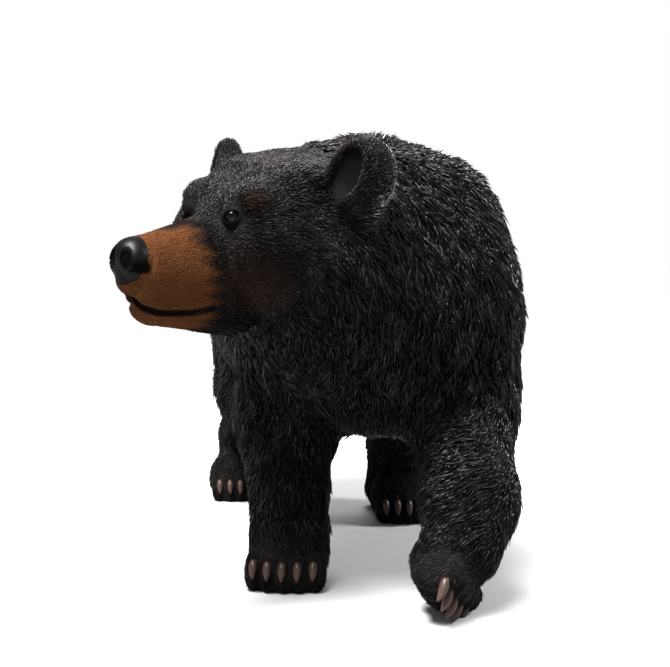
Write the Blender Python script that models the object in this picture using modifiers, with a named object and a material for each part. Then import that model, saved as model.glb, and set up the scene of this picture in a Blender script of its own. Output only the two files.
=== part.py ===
"""A walking black bear, cast in one piece with two inset eyes.

The bear is sculpted as a modeller builds up clay: lumps are laid on one another, fused into one
skin, settled onto their smooth common surface, and the coat is then carved in locks.
Every place and thickness of the figure is a share of the shoulder height.
x is the bear's left, -y is the way it walks, z is up.
"""
import math
import random

import bmesh
import bpy
import numpy as np
from mathutils import Matrix, Vector, kdtree

SHOULDER_HEIGHT = 0.90      # floor to the top of the hump, in metres
EYE_RADIUS = 0.0135         # the inset eyeball
EYE_CLEARANCE = 0.0004      # gap between an eyeball and its socket
UNIT = SHOULDER_HEIGHT / 90 # the sculptor's unit: a ninetieth of the height, a centimetre at real size

CLAY_GRAIN = 0.75           # spacing of the fused skin's faces, in units
SKIN_FACES = 9500           # triangles left in the bear's skin
COAT_DEPTH = 0.85           # how far the largest locks stand up, in units
COAT_SEED = 7
FLOOR_ROUNDING = 0.5        # how softly the soles turn up from the floor, in units
SOLE_DEPTH = 0.25           # what lies this close to the floor rests on it, in units


class Lump:
    """An ellipsoid of clay, or one that is swept from a to b while its radii change."""

    def __init__(self, a, radii, b=None, radii_b=None, axes=None,
                 blend=3.0, cut=False, comb=None, coat=0.0):
        self.a = np.array(a, float)
        self.b = np.array(a if b is None else b, float)
        self.radii_a = np.ones(3) * radii
        self.radii_b = self.radii_a if radii_b is None else np.ones(3) * radii_b
        self.axes = np.array(Matrix.Identity(3) if axes is None else axes, float)
        self.blend = blend
        self.cut = cut
        self.comb = None if comb is None else np.array(comb, float)
        self.coat = coat
        self.toes = None                # middle of the row of toes that this lump closes

    def reach(self):
        return max(self.radii_a.max(), self.radii_b.max()) + self.blend + 2.5

    def near(self, points):
        """Indices of the points that this lump can touch."""
        low = np.minimum(self.a, self.b) - self.reach()
        high = np.maximum(self.a, self.b) + self.reach()
        return np.nonzero(np.all((points > low) & (points < high), axis=1))[0]

    def distance(self, points):
        along = self.b - self.a
        length = float(along @ along)
        share = np.clip((points - self.a) @ along / length, 0, 1)[:, None] if length else 0.0
        inside = (points - self.a - share * along) @ self.axes
        radii = self.radii_a + share * (self.radii_b - self.radii_a)
        level = np.sqrt(np.sum((inside / radii) ** 2, axis=1)) + 1e-9
        slope = np.sqrt(np.sum((inside / radii ** 2) ** 2, axis=1)) + 1e-9
        return level * (level - 1) / slope


def turned(turn=0.0, nod=0.0, tilt=0.0):
    """Axes turned to the bear's right, nodded down and tilted about the way they face, in degrees."""
    return (Matrix.Rotation(math.radians(-turn), 3, "Z")
            @ Matrix.Rotation(math.radians(nod), 3, "X")
            @ Matrix.Rotation(math.radians(tilt), 3, "Y"))


def aimed(forward, back_of_paw):
    """Axes whose -y points forward and whose z is as near as it can be to the back of the paw."""
    y = -Vector(forward).normalized()
    x = y.cross(Vector(back_of_paw)).normalized()
    return Matrix((x, y, x.cross(y))).transposed()


class Place:
    """A local frame in which lumps are added, such as the head's or a paw's."""

    def __init__(self, lumps, at, axes):
        self.lumps = lumps
        self.at = Vector(at)
        self.axes = axes

    def point(self, p):
        return self.at + self.axes @ Vector(p)

    def onto(self, p):
        """The point of the surface so far that is nearest to p."""
        spot = np.array([self.point(p)])
        for _ in range(8):
            touched = [lump.near(spot) for lump in self.lumps]
            up = slope(spot, self.lumps, touched)
            spot = spot - form(spot, self.lumps, touched)[:, None] * up / np.sum(up * up)
        return self.axes.transposed() @ (Vector(spot[0]) - self.at)

    def add(self, a, radii, b=None, radii_b=None, axes=None, comb=None, **rest):
        axes = self.axes if axes is None else self.axes @ axes
        b = None if b is None else self.point(b)
        comb = None if comb is None else self.axes @ Vector(comb)
        self.lumps.append(Lump(self.point(a), radii, b, radii_b, axes=axes, comb=comb, **rest))


def torso():
    """Chest, barrel, rump, hump, shoulders, haunches and tail."""
    back = (0, 0.75, -0.66)
    body = [
        Lump((0, 13, 56), (23.5, 25, 28), blend=8, comb=(0, 0.3, -1), coat=1),
        Lump((0, 42, 56), (31, 33, 28), blend=10, comb=back, coat=1),
        Lump((0, 57, 52), (32.5, 32, 24), blend=8, comb=back, coat=1),
        Lump((0, 84, 57), (29, 29, 28), blend=10, comb=back, coat=1),
        Lump((-2, 12, 73.5), (11.5, 18, 15), (0, 40, 69.5), (12, 20, 14.5), blend=10,
             comb=(0, 1, -0.35), coat=1),
        Lump((0, 40, 67), (16.5, 18, 16), (0, 92, 66), (15, 16, 16), blend=10, comb=(0, 1, -0.4), coat=1),
        Lump((0, -4, 50.5), (17, 13, 18), blend=10, comb=(0, -0.1, -1), coat=1),
        Lump((0, 110, 66), (4, 4, 5), (0, 115.5, 57), (3, 3, 4), blend=3, comb=(0, 0.4, -1), coat=1),
    ]
    for side in (-1, 1):
        body.append(Lump((side * 15.9, 9, 57), (11.2, 18, 22), axes=turned(nod=-10), blend=7,
                         comb=(0, 0.25, -1), coat=1))
        body.append(Lump((side * 12.5, 12, 74.2), (9.5, 14, 10), blend=6,
                         comb=(side * 0.2, 0.7, -0.7), coat=1))
        body.append(Lump((side * 18.6, 88, 50), (12.5, 22, 24), blend=7, comb=(0, 0.45, -1), coat=1))
    return body


def neck():
    down = (0.1, 0.15, -1)
    return [
        Lump((0, 6, 62.5), (19.5, 19, 20.5), (-13, -6.5, 67.3), (17, 16, 18), blend=10, comb=down, coat=1),
        Lump((-1, 0, 53), (15, 13, 18), (-15.8, -12.6, 59), (13.4, 12, 15), blend=8, comb=down, coat=1),
    ]


HEAD_AT = (-21.6, -12.0, 70.6)
HEAD_AXES = turned(turn=50.6, nod=2.6, tilt=8.0)
EYE_AT = (5.75, -17.0, 1.5)        # the left eyeball's centre in the head's frame
EYE_AIM = (0.62, -0.78, 0.08)       # the way it looks
FACE_MIDDLE = (0, -18, -4)          # the face is modelled finer within FACE_REACH of it
FACE_REACH = 20
TOES_REACH = 8                      # and each row of toes within this


def skull(head):
    """Crown, forehead, brows, cheeks and ruff."""
    back = (0, 1, -0.15)
    head.add((0, 1, 0), (13, 14, 11), blend=5, comb=back, coat=0.5)
    head.add((0, -9, 0.3), (9.6, 8, 7.6), blend=4, comb=back, coat=0.25)
    for side in (-1, 1):
        head.add((side * 6.5, -1.5, 3.0), (7.5, 10, 8.2), blend=5, comb=back, coat=0.45)
        head.add((side * 8, -5, -6), (7.6, 11, 9), blend=5, comb=(side * 0.3, 1, -0.7), coat=0.3)
        head.add((side * 10, 5, -8), (9, 11, 13), blend=6, comb=(side * 0.2, 0.4, -1), coat=0.8)
        head.add((side * 6.0, -13.5, 4.0), (3.9, 3.3, 2.7), blend=3, comb=(side * 0.5, 1, 0.4), coat=0.2)
        head.add((side * 8.0, -12.5, -3), (4, 5, 4), blend=4, comb=(side * 0.4, 1, -0.5), coat=0.2)


LIP = ((0, -34.5, -12.2), (1.7, -32.6, -13.6), (3.6, -29.8, -14.5),     # the left half of the mouth,
       (4.4, -26.6, -14.8), (5.0, -23.0, -14.7), (5.6, -19.8, -14.1))   # from its middle to its corner
LIP_DEPTH = (0.35, 0.45, 0.6, 0.72, 0.82, 0.9)                          # radius of the cut at each


def muzzle(head):
    """Bridge, lips and lower jaw, with the line of the mouth cut between them."""
    back = (0, 1, 0)
    head.add((0, -16, -3.4), (5.0, 6, 5.2), (0, -30, -6.0), (3.4, 5, 4.2), blend=3, comb=back, coat=0.1)
    head.add((0, -17, -9), (7.1, 7, 6.5), (0, -29.3, -9.3), (4.9, 4.8, 4.9), blend=3, comb=back, coat=0.1)
    head.add((0, -13, -14), (6.7, 8, 6), (0, -28.2, -13.7), (4.2, 4.4, 3.6), blend=1.6, comb=back, coat=0.1)
    lip = [head.onto(p) for p in LIP]
    for side in (-1, 1):
        path = [(side * x, y, z) for x, y, z in lip]
        for k, (start, end) in enumerate(zip(path, path[1:])):
            head.add(start, LIP_DEPTH[k], end, LIP_DEPTH[k + 1], blend=0.5, cut=True)


def nose(head):
    """The leather of the nose with its wings, nostrils, side slits and the groove below."""
    head.add((0, -33.2, -5.4), (3.4, 3.0, 3.1), blend=1.0)
    head.add((0, -33.6, -9.0), (2.5, 2.0, 2.6), blend=1.2)
    for side in (-1, 1):
        head.add((side * 1.95, -33.7, -6.4), (1.9, 2.3, 2.5), blend=0.8)
        flare = turned(turn=side * -20, tilt=side * -15)
        head.add((side * 1.8, -35.6, -5.9), (1.0, 2.0, 1.5), axes=flare,
                 blend=0.5, cut=True)
        head.add((side * 2.3, -35.5, -6.7), 0.5, (side * 4.1, -33.3, -7.0), 0.34, blend=0.4, cut=True)
    head.add((0, -36.4, -8.6), 0.26, (0, -35.5, -12.0), 0.30, blend=0.4, cut=True)


def eye_socket(head, side):
    """A hollow under the brow, the lids swelling over the eyeball, and the opening between them."""
    at = Vector((side * EYE_AT[0], EYE_AT[1], EYE_AT[2]))
    aim = Vector((side * EYE_AIM[0], EYE_AIM[1], EYE_AIM[2])).normalized()
    axes = turned(turn=-side * math.degrees(math.atan2(EYE_AIM[0], -EYE_AIM[1])), tilt=side * -26)
    ball = EYE_RADIUS / UNIT
    head.add(at + aim * 2.2 + Vector((-side * 0.6, 0, -0.2)), (2.3, 1.6, 1.5), blend=2.0, cut=True)
    head.add(at, ball + 0.34, blend=1.3)
    head.add(at + aim * 1.75, (1.6, 1.5, 0.92), axes=axes, blend=0.25, cut=True)


def ear(head, side, at, radii, turn):
    """A thick cupped ear; turn is how far its opening faces away from straight ahead."""
    axes = turned(turn=-side * turn, nod=-6) @ turned(tilt=side * 16)
    at = Vector(at)
    hollow = at + axes @ Vector((0, -radii[1] * 0.95, 0.3))
    head.add(at, radii, axes=axes, blend=2.6, comb=(side * 0.2, 0.7, 0.7), coat=0.35)
    head.add(hollow, (radii[0] * 0.56, radii[1] * 0.75, radii[2] * 0.66), axes=axes, blend=1.3, cut=True)


def head_lumps():
    lumps = []
    head = Place(lumps, HEAD_AT, HEAD_AXES)
    skull(head)
    muzzle(head)
    nose(head)
    ear(head, 1, (16.4, 2.8, 9.2), (5.8, 6.2, 7.4), 4)
    ear(head, -1, (-15.8, -0.2, 7.7), (5.2, 3.4, 6.7), 32)
    for side in (-1, 1):
        eye_socket(head, side)
    return lumps


STANDING_CLAW = ((0.9, 0.60, 0), (-0.35, 0.25, 0), (-0.5, -0.17, 0))
LIFTED_CLAW = ((1.3, 0.45, -1.2), (-0.7, 0.45, -0.5), (-2.3, 0.20, 0.3))


def paw(lumps, at, axes, width, length, spread, toe, drop, palm=(0, 0, 0), thick=7.8, lean=0.0,
        claw=STANDING_CLAW):
    """Palm, five toes side by side and a short leaf-shaped claw on each.

    A claw's root, middle and tip are given by how far they lie behind the toe's front, how high they
    lie in shares of its thickness, and how far aside. Lean sets each toe further back than the one
    before it.
    """
    place = Place(lumps, at, axes)
    forward = (0, -0.8, -0.6)
    place.add(palm, (width, length, thick), blend=4, comb=forward, coat=0.3)
    for k in range(-2, 3):
        x = k * spread
        front = -length - 1.9 + 0.34 * k * k + lean * k
        place.add((x, front + toe[1], drop), toe, axes=turned(turn=-k * 3), blend=1.5,
                  comb=forward, coat=0.05)
        root, middle, tip = ((x + aside, front + back, drop + share * toe[2])
                             for back, share, aside in claw)
        place.add(root, (0.75, 0.7, 0.7), middle, (0.9, 0.8, 0.8), blend=0.3, comb=forward, coat=0)
        place.add(middle, (0.9, 0.8, 0.8), tip, 0.26, blend=0.2, comb=forward, coat=0)
    lumps[-1].toes = place.point((0, -length, drop))


def front_legs():
    """The right foreleg stands; the left one swings forward with its paw lifted and turned in."""
    down = (0, 0.15, -1)
    across = (-0.75, 0.2, -0.6)
    lumps = [
        Lump((-17.5, 7, 52), (11, 13, 14), (-18.6, 12, 34), (9.4, 11, 10), blend=6, comb=down, coat=1),
        Lump((-18.6, 12, 34), (9.4, 11, 10), (-18.8, 4, 13), (7.5, 7.7, 7), blend=6, comb=down, coat=0.7),
        Lump((16.6, 6, 52), (10.3, 13, 14), (16.1, 4, 36), (9.9, 11, 10), blend=6, comb=down, coat=1),
        Lump((16.1, 4, 36), (9.9, 10.5, 10), (13.0, -16.0, 19), (8.0, 7.8, 7.6), blend=6,
             comb=across, coat=0.7),
        Lump((13.0, -16.0, 19), (7.9, 7.4, 7.4), (11.2, -21.5, 13), (6.8, 6.2, 7), blend=5,
             comb=across, coat=0.5),
    ]
    paw(lumps, (-18.9, 2.0, 5.9), turned(turn=14), width=7.5, length=8.0, spread=2.9,
        toe=(2.1, 3.6, 4.4), drop=-2.5)
    lifted = aimed((-0.373, -0.747, -0.55), (0.864, -0.489, 0.079))
    paw(lumps, (11.2, -24.0, 8.0), lifted, width=5.8, length=6.8, spread=2.8, toe=(2.1, 3.8, 4.4),
        drop=-3.1, palm=(-1.2, 0, -3.9), thick=6.5, lean=1.25, claw=LIFTED_CLAW)
    return lumps


def hind_leg(lumps, hip, knee, hock, heel, ball):
    """Thigh, shank and a long foot flat on the floor."""
    down = (0, 0.35, -1)
    lumps += [
        Lump(hip, (12, 17, 18), knee, (10.5, 12, 11), blend=7, comb=down, coat=1),
        Lump(knee, (10, 11, 11), hock, (7.3, 7.4, 6.7), blend=6, comb=down, coat=0.8),
        Lump(hock, (7.3, 7.4, 6.7), heel, (6.5, 5.8, 6.4), blend=4, comb=down, coat=0.5),
        Lump(heel, (6.2, 5.8, 6.4), ball, (6.6, 6, 5.6), blend=4, comb=(0, -0.6, -0.7), coat=0.3),
    ]
    paw(lumps, ball, turned(turn=0), width=7.2, length=7.4, spread=2.75, toe=(1.95, 3.4, 4.4), drop=-2.2)


def bear_lumps():
    lumps = torso() + neck() + head_lumps() + front_legs()
    hind_leg(lumps, (-18, 86, 46), (-20, 76, 33), (-22.0, 103, 17), (-24, 107, 5.6), (-25.3, 96, 5.4))
    hind_leg(lumps, (18, 82, 46), (19, 64, 32), (17.2, 80, 16), (15.4, 79, 5.6), (14.7, 61.5, 5.4))
    return lumps


def blended(a, b, width):
    """The smaller of two distances, rounded off where they are within width of each other."""
    near = np.maximum(width - np.abs(a - b), 0) / width
    return np.minimum(a, b) - near * near * width / 4


def form(points, lumps, touched):
    """Distance from each point to the bear's smooth surface, negative inside."""
    distance = np.full(len(points), 50.0)
    for lump, touch in zip(lumps, touched):
        here = lump.distance(points[touch])
        if lump.cut:
            distance[touch] = -blended(-distance[touch], here, lump.blend)
        else:
            distance[touch] = blended(distance[touch], here, lump.blend)
    return -blended(-distance, points[:, 2], FLOOR_ROUNDING)


def slope(points, lumps, touched, step=0.04):
    """Gradient of form, by central differences."""
    result = np.empty_like(points)
    for axis in range(3):
        shift = np.zeros(3)
        shift[axis] = step
        ahead = form(points + shift, lumps, touched)
        behind = form(points - shift, lumps, touched)
        result[:, axis] = (ahead - behind) / (2 * step)
    return result


def positions(mesh):
    flat = np.empty(len(mesh.vertices) * 3)
    mesh.vertices.foreach_get("co", flat)
    return flat.reshape(-1, 3)


def fuse(lumps):
    """Each lump as a hull around its two ends, all fused into one skin by a voxel remesh."""
    heap = bmesh.new()
    for lump in lumps:
        if lump.cut:
            continue
        hull = bmesh.new()
        for centre, radii in ((lump.a, lump.radii_a), (lump.b, lump.radii_b)):
            place = (Matrix.Translation(Vector(centre)) @ Matrix(lump.axes.tolist()).to_4x4()
                     @ Matrix.Diagonal((*radii, 1)))
            bmesh.ops.create_uvsphere(hull, u_segments=20, v_segments=12, radius=1, matrix=place)
        made = bmesh.ops.convex_hull(hull, input=hull.verts)
        inner = {v for v in made["geom_interior"] if isinstance(v, bmesh.types.BMVert)}
        bmesh.ops.delete(hull, geom=list(inner), context="VERTS")
        mesh = bpy.data.meshes.new("hull")
        hull.to_mesh(mesh)
        hull.free()
        heap.from_mesh(mesh)
        bpy.data.meshes.remove(mesh)
    mesh = bpy.data.meshes.new("heap")
    heap.to_mesh(mesh)
    heap.free()
    clay = bpy.data.objects.new("heap", mesh)
    bpy.context.scene.collection.objects.link(clay)
    remesh = clay.modifiers.new("fuse", "REMESH")
    remesh.mode = "VOXEL"
    remesh.voxel_size = CLAY_GRAIN
    return evaluated(clay)


def evaluated(thing):
    """A new mesh of an object with its modifiers applied; the object is removed."""
    graph = bpy.context.evaluated_depsgraph_get()
    mesh = bpy.data.meshes.new_from_object(thing.evaluated_get(graph))
    bpy.data.objects.remove(thing)
    return mesh


def settle(mesh, lumps, rounds=5, relax=0.5):
    """Moves the skin onto the smooth surface, evening out its faces on the way."""
    points = positions(mesh)
    touched = [lump.near(points) for lump in lumps]
    ends = np.empty(len(mesh.edges) * 2, int)
    mesh.edges.foreach_get("vertices", ends)
    ends = ends.reshape(-1, 2)
    count = np.bincount(ends.ravel(), minlength=len(points))[:, None]
    for k in range(rounds):
        distance = form(points, lumps, touched)[:, None]
        up = slope(points, lumps, touched)
        step = distance * up / np.maximum(np.sum(up * up, axis=1, keepdims=True), 0.25)
        length = np.linalg.norm(step, axis=1, keepdims=True)
        points = points - step * np.minimum(1, 1.5 / np.maximum(length, 1e-9))
        if k < rounds - 1:
            total = np.zeros_like(points)
            np.add.at(total, ends[:, 0], points[ends[:, 1]])
            np.add.at(total, ends[:, 1], points[ends[:, 0]])
            pull = total / count - points
            up /= np.maximum(np.linalg.norm(up, axis=1, keepdims=True), 1e-9)
            pull -= np.sum(pull * up, axis=1, keepdims=True) * up
            points = points + relax * pull
    mesh.vertices.foreach_set("co", points.ravel())
    mesh.update()
    return touched


def split_finer(mesh, centre, radius):
    """Splits the faces within radius of a point in four."""
    work = bmesh.new()
    work.from_mesh(mesh)
    edges = [e for e in work.edges if all((v.co - centre).length < radius for v in e.verts)]
    bmesh.ops.subdivide_edges(work, edges=edges, cuts=1, use_grid_fill=True)
    work.to_mesh(mesh)
    work.free()


def combed(points, normals, lumps, touched):
    """The way the hair lies at each point, along the surface, and how shaggy it is there."""
    flow = np.zeros_like(points)
    shag = np.zeros(len(points))
    total = np.full(len(points), 1e-9)
    for lump, touch in zip(lumps, touched):
        if lump.cut or lump.comb is None:
            continue
        weight = np.exp(-np.abs(lump.distance(points[touch])) / 2.5)
        flow[touch] += weight[:, None] * lump.comb / np.linalg.norm(lump.comb)
        shag[touch] += weight * lump.coat
        total[touch] += weight
    flow -= np.sum(flow * normals, axis=1, keepdims=True) * normals
    flow /= np.maximum(np.linalg.norm(flow, axis=1, keepdims=True), 1e-6)
    return flow, shag / total


def vertex_normals(mesh):
    flat = np.empty(len(mesh.vertices) * 3)
    mesh.vertex_normals.foreach_get("vector", flat)
    return flat.reshape(-1, 3)


def carve_coat(mesh, lumps, touched, long=11.0, wide=2.5, apart=3.8):
    """Raises overlapping leaf-shaped locks, each rising from its root to a pointed tip."""
    chance = random.Random(COAT_SEED)
    points = positions(mesh)
    normals = vertex_normals(mesh)
    flow, shag = combed(points, normals, lumps, touched)
    tree = kdtree.KDTree(len(points))
    for k, p in enumerate(points):
        tree.insert(p, k)
    tree.balance()
    order = list(range(len(points)))
    chance.shuffle(order)
    taken = np.zeros(len(points), bool)
    raised = np.zeros(len(points))
    for k in order:
        if taken[k] or shag[k] < 0.12 or points[k, 2] < 2.0:
            continue
        size = 0.45 + 0.55 * shag[k]
        for _, near, _ in tree.find_range(points[k], apart * size * chance.uniform(0.85, 1.15)):
            taken[near] = True
        length = long * size * chance.uniform(0.8, 1.2)
        width = wide * size * chance.uniform(0.8, 1.2)
        height = COAT_DEPTH * (0.25 + 0.75 * shag[k]) * chance.uniform(0.6, 1.25)
        angle = math.radians(chance.gauss(0, 13))
        across = np.cross(normals[k], flow[k])
        ahead = math.cos(angle) * flow[k] + math.sin(angle) * across
        across = np.cross(normals[k], ahead)
        reached = np.array([near for _, near, _ in tree.find_range(points[k], length)])
        offset = points[reached] - points[k]
        share = offset @ ahead / length
        inside = (share > 0) & (share < 1) & (normals[reached] @ normals[k] > 0.2)
        reached = reached[inside]
        share = share[inside]
        half = width * 1.6 * np.sqrt(share) * (1 - share) ** 0.6 + 0.02
        ridge = 1 - np.abs(offset[inside] @ across) / half
        lift = height * share ** 0.6 * np.clip(ridge, 0, None) ** 0.7
        raised[reached] = np.maximum(raised[reached], lift)
    settled = points + normals * (raised - 0.4 * COAT_DEPTH * np.clip(shag, 0, 1))[:, None]
    settled[:, 2] = np.where(points[:, 2] < 0.6, points[:, 2], settled[:, 2])
    mesh.vertices.foreach_set("co", settled.ravel())
    mesh.update()
    return shag


def thinned(mesh, keep, faces):
    """Collapses the skin to a number of triangles, sparing the vertices whose keep is high."""
    work = bmesh.new()
    work.from_mesh(mesh)
    bmesh.ops.triangulate(work, faces=work.faces)
    work.to_mesh(mesh)
    work.free()
    skin = bpy.data.objects.new("skin", mesh)
    bpy.context.scene.collection.objects.link(skin)
    group = skin.vertex_groups.new(name="thin")
    for k, share in enumerate(keep):
        group.add([k], 1.0 - 0.9 * float(share), "REPLACE")
    collapse = skin.modifiers.new("thin", "DECIMATE")
    collapse.ratio = faces / len(mesh.polygons)
    collapse.vertex_group = "thin"
    collapse.vertex_group_factor = 1.5
    return evaluated(skin)


def flatten_soles(mesh):
    """Everything within a hair of the floor lies exactly on it."""
    points = positions(mesh)
    points[:, 2] = np.where(points[:, 2] < SOLE_DEPTH, 0.0, points[:, 2])
    mesh.vertices.foreach_set("co", points.ravel())
    mesh.update()


def ball(name, centre, radius, material, home):
    """A sphere of triangles."""
    work = bmesh.new()
    bmesh.ops.create_icosphere(work, subdivisions=2, radius=radius)
    mesh = bpy.data.meshes.new(name)
    work.to_mesh(mesh)
    work.free()
    mesh.materials.append(material)
    thing = bpy.data.objects.new(name, mesh)
    thing.location = centre
    home.objects.link(thing)
    return thing


def painted(name, colour, roughness, coat=0.0):
    material = bpy.data.materials.new(name)
    material.use_nodes = True
    shader = material.node_tree.nodes["Principled BSDF"]
    shader.inputs["Base Color"].default_value = (*colour, 1)
    shader.inputs["Roughness"].default_value = roughness
    shader.inputs["Coat Weight"].default_value = coat
    return material


def sculpted_skin():
    """The whole bear in units, before it is thinned: mesh, lumps and how closely to keep each vertex."""
    lumps = bear_lumps()
    mesh = fuse(lumps)
    settle(mesh, lumps)
    split_finer(mesh, Vector(HEAD_AT) + HEAD_AXES @ Vector(FACE_MIDDLE), FACE_REACH)
    for lump in lumps:
        if lump.toes:
            split_finer(mesh, lump.toes, TOES_REACH)
    touched = settle(mesh, lumps, rounds=3)
    shag = carve_coat(mesh, lumps, touched)
    return mesh, np.clip(1.1 - shag, 0, 1)


def socket(name, centre, home):
    cutter = ball(name, centre, EYE_RADIUS + EYE_CLEARANCE, painted(name, (0.1, 0.1, 0.1), 0.5), home)
    cutter.display_type = "WIRE"
    cutter.hide_render = True
    return cutter


def main():
    for thing in list(bpy.data.objects):
        bpy.data.objects.remove(thing)
    home = bpy.data.collections.new("bear_statue")
    cutters = bpy.data.collections.new("cutters")
    bpy.context.scene.collection.children.link(home)
    bpy.context.scene.collection.children.link(cutters)

    mesh, keep = sculpted_skin()
    mesh = thinned(mesh, keep, SKIN_FACES)
    flatten_soles(mesh)
    mesh.transform(Matrix.Scale(UNIT, 4))
    points = positions(mesh)
    low, high = points.min(axis=0), points.max(axis=0)
    middle = Vector(((low[0] + high[0]) / 2, (low[1] + high[1]) / 2, low[2]))
    mesh.transform(Matrix.Translation(-middle))
    mesh.name = "bear"
    mesh.materials.clear()
    mesh.materials.append(painted("painted_resin", (0.028, 0.020, 0.016), 0.5))
    bear = bpy.data.objects.new("bear", mesh)
    home.objects.link(bear)

    eye_paint = painted("glossy_eye", (0.020, 0.010, 0.006), 0.08, coat=1.0)
    for side, name in ((1, "left_eye"), (-1, "right_eye")):
        at = Vector(HEAD_AT) + HEAD_AXES @ Vector((side * EYE_AT[0], EYE_AT[1], EYE_AT[2]))
        centre = at * UNIT - middle
        ball(name, centre, EYE_RADIUS, eye_paint, home)
        cut = bear.modifiers.new(name + "_socket", "BOOLEAN")
        cut.operation = "DIFFERENCE"
        cut.solver = "EXACT"
        cut.object = socket(name + "_socket", centre, cutters)


main()
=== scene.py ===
# %% [markdown]
# # A walking bear, cast in resin and painted by hand
# The real statue is one casting: a modeller built the bear in clay, carved the coat in locks, took a
# mould, cast it and painted it. This file dresses its plain solid in the same order. It first fuses the
# clay again at a finer grain, then carves the big locks, lays thousands of small locks over them, sets
# in claws and eyes, and paints everything. Every place is in the sculptor's unit, one centimetre.

# %% The frame that everything is fitted to
import math
import random

import bmesh
import bpy
import numpy as np
from mathutils import Matrix, Vector, kdtree


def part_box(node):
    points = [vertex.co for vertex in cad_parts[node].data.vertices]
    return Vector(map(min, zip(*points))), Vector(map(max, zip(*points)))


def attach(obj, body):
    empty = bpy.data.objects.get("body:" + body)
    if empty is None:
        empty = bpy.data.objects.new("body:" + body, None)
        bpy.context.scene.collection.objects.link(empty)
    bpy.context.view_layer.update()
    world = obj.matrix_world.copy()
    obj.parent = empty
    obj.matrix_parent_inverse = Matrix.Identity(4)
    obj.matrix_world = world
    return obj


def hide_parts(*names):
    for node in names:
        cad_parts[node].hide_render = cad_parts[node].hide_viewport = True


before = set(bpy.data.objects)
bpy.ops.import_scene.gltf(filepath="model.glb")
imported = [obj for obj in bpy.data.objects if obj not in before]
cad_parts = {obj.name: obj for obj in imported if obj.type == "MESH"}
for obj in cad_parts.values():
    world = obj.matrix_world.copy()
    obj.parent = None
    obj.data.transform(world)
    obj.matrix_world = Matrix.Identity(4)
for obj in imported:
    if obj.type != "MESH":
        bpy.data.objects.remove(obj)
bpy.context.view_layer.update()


def rounded(values, digits=3):
    return [round(v, digits) for v in values]


print("solids:", sorted(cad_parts))

# %% [markdown]
# ## Clay
# A lump of clay is an ellipsoid, or one that is swept from one end to the other while its radii
# change. It knows how it blends with its neighbours, which way the hair on it lies, and how shaggy
# that hair is. Each lump only has to answer one question: how far is a point from its surface?

# %% One lump of clay
class Lump:
    def __init__(self, a, radii, b=None, radii_b=None, axes=None,
                 blend=3.0, cut=False, comb=None, coat=0.0):
        self.a = np.array(a, float)
        self.b = np.array(a if b is None else b, float)
        self.radii_a = np.ones(3) * radii
        self.radii_b = self.radii_a if radii_b is None else np.ones(3) * radii_b
        self.axes = np.array(Matrix.Identity(3) if axes is None else axes, float)
        self.blend = blend
        self.cut = cut
        self.comb = None if comb is None else np.array(comb, float)
        self.coat = coat

    def near(self, points):
        reach = max(self.radii_a.max(), self.radii_b.max()) + self.blend + 2.5
        low = np.minimum(self.a, self.b) - reach
        high = np.maximum(self.a, self.b) + reach
        return np.nonzero(np.all((points > low) & (points < high), axis=1))[0]

    def distance(self, points):
        along = self.b - self.a
        length = float(along @ along)
        share = np.clip((points - self.a) @ along / length, 0, 1)[:, None] if length else 0.0
        inside = (points - self.a - share * along) @ self.axes
        radii = self.radii_a + share * (self.radii_b - self.radii_a)
        level = np.sqrt(np.sum((inside / radii) ** 2, axis=1)) + 1e-9
        rise = np.sqrt(np.sum((inside / radii ** 2) ** 2, axis=1)) + 1e-9
        return level * (level - 1) / rise


ball = Lump((0, 0, 0), 2)
print("from a ball of radius 2 to a point 5 away:", ball.distance(np.array([(5.0, 0, 0)])))

# %% Axes for a head or a paw
def turned(turn=0.0, nod=0.0, tilt=0.0):
    return (Matrix.Rotation(math.radians(-turn), 3, "Z")
            @ Matrix.Rotation(math.radians(nod), 3, "X")
            @ Matrix.Rotation(math.radians(tilt), 3, "Y"))


def aimed(forward, back_of_paw):
    y = -Vector(forward).normalized()
    x = y.cross(Vector(back_of_paw)).normalized()
    return Matrix((x, y, x.cross(y))).transposed()


print("a head turned by 90 degrees looks along", rounded(turned(turn=90) @ Vector((0, -1, 0)), 1))

# %% [markdown]
# ## One smooth surface
# Two distances are joined by a smooth minimum, which rounds the crease where lumps meet, as a thumb
# would. A cut takes clay away in the same way. The floor cuts the soles level.

# %% The bear's distance function and its slope
FLOOR_ROUNDING = 0.5


def blended(a, b, width):
    near = np.maximum(width - np.abs(a - b), 0) / width
    return np.minimum(a, b) - near * near * width / 4


def form(points, lumps, touched):
    distance = np.full(len(points), 50.0)
    for lump, touch in zip(lumps, touched):
        here = lump.distance(points[touch])
        if lump.cut:
            distance[touch] = -blended(-distance[touch], here, lump.blend)
        else:
            distance[touch] = blended(distance[touch], here, lump.blend)
    return -blended(-distance, points[:, 2], FLOOR_ROUNDING)


def slope(points, lumps, touched, step=0.04):
    result = np.empty_like(points)
    for axis in range(3):
        shift = np.zeros(3)
        shift[axis] = step
        ahead = form(points + shift, lumps, touched)
        behind = form(points - shift, lumps, touched)
        result[:, axis] = (ahead - behind) / (2 * step)
    return result


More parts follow.
